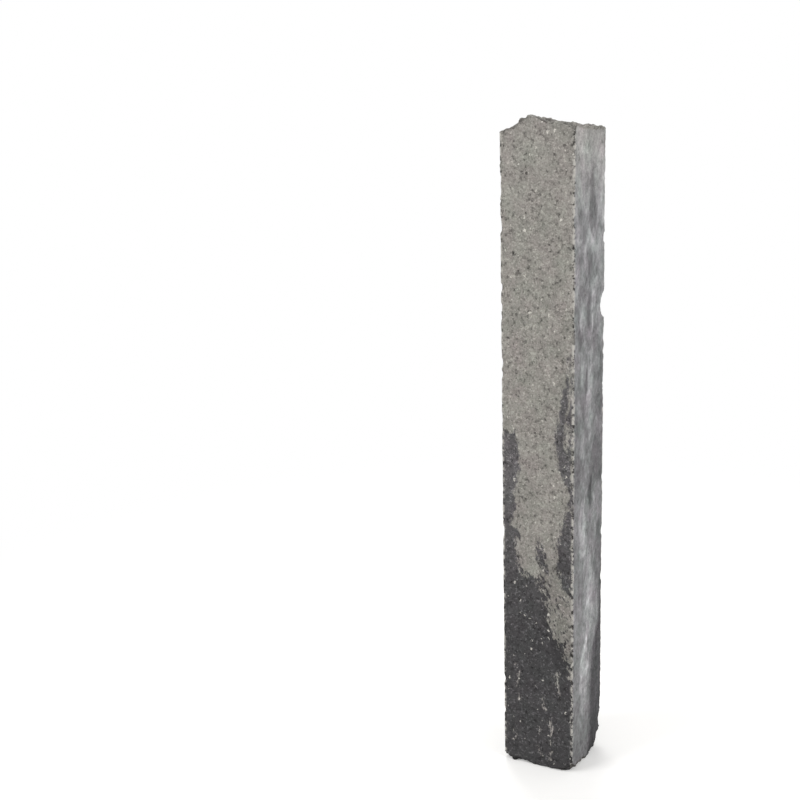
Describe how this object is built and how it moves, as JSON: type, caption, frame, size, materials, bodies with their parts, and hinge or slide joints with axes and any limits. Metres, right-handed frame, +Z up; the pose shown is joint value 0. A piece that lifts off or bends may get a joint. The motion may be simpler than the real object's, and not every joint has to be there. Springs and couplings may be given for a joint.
{
  "type": "concrete palisade",
  "caption": "Square precast concrete palisade post with rough-broken head and foot, chipped arrises and a dark-footed two-tone face.",
  "frame": {"origin": "centre of the foot, on the ground that the bar stands on", "axes": "+Z up along the bar to its broken head; the front, which shows the two-tone pattern best, faces -Y; +X to the right of the front"},
  "size_m": [0.118, 0.118, 1.02],
  "materials": {
    "concrete": "rough two-tone dry-cast concrete, light grey above and anthracite below"
  },
  "bodies": {
    "root": {"palisade": "concrete"}
  },
  "joints": []
}
